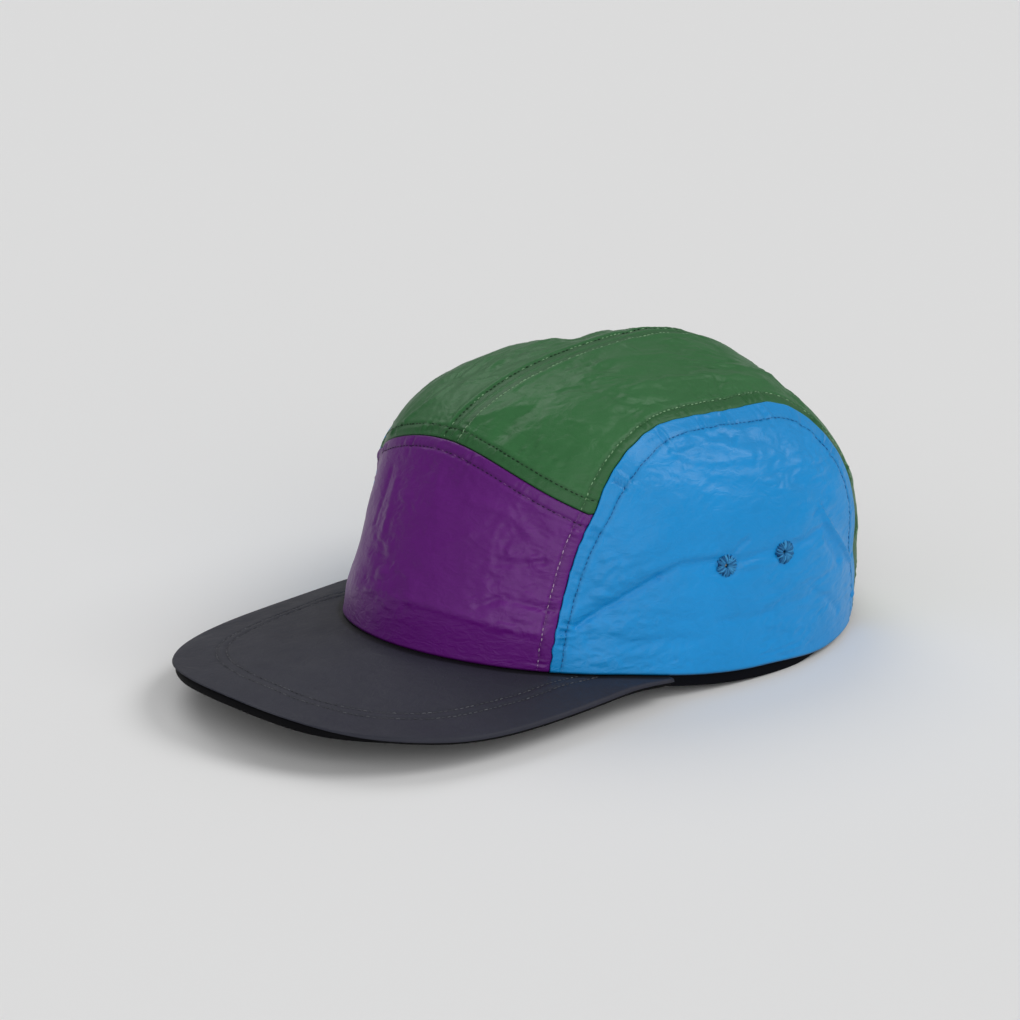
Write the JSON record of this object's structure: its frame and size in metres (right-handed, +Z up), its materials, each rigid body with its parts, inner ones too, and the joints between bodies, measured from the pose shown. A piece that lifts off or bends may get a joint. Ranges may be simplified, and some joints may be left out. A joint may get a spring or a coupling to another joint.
{
  "type": "five panel cap",
  "caption": "Sports cap of sewn nylon panels in purple, blue and green, with a curved charcoal peak, a black sweatband and a strap across the back opening.",
  "frame": {"origin": "on the surface that the cap stands on, in the middle of its width and of its whole length", "axes": "+Z up; the front of the cap is towards -Y and the wearer's left is towards +X"},
  "size_m": [0.1574, 0.2695, 0.104],
  "materials": {
    "nylon_purple": "crinkled nylon, soft sheen",
    "nylon_blue": "crinkled nylon, soft sheen",
    "nylon_green": "crinkled nylon, soft sheen",
    "nylon_charcoal": "smooth nylon, matte",
    "peak_lining": "woven cloth, matte",
    "sweatband_cloth": "woven cloth, matte",
    "eyelet_thread": "embroidery thread",
    "strap_webbing": "woven webbing, matte",
    "buckle_plastic": "moulded plastic, satin"
  },
  "bodies": {
    "root": {"front_panel": "nylon_purple", "side_panel_left": "nylon_blue", "side_panel_right": "nylon_blue", "top_panel_left": "nylon_green", "top_panel_right": "nylon_green", "peak_top": "nylon_charcoal", "peak_underside": "peak_lining", "sweatband": "sweatband_cloth", "eyelet_left_front": "eyelet_thread", "eyelet_left_rear": "eyelet_thread", "eyelet_right_front": "eyelet_thread", "eyelet_right_rear": "eyelet_thread", "back_strap": "strap_webbing", "strap_buckle": "buckle_plastic"}
  },
  "joints": []
}
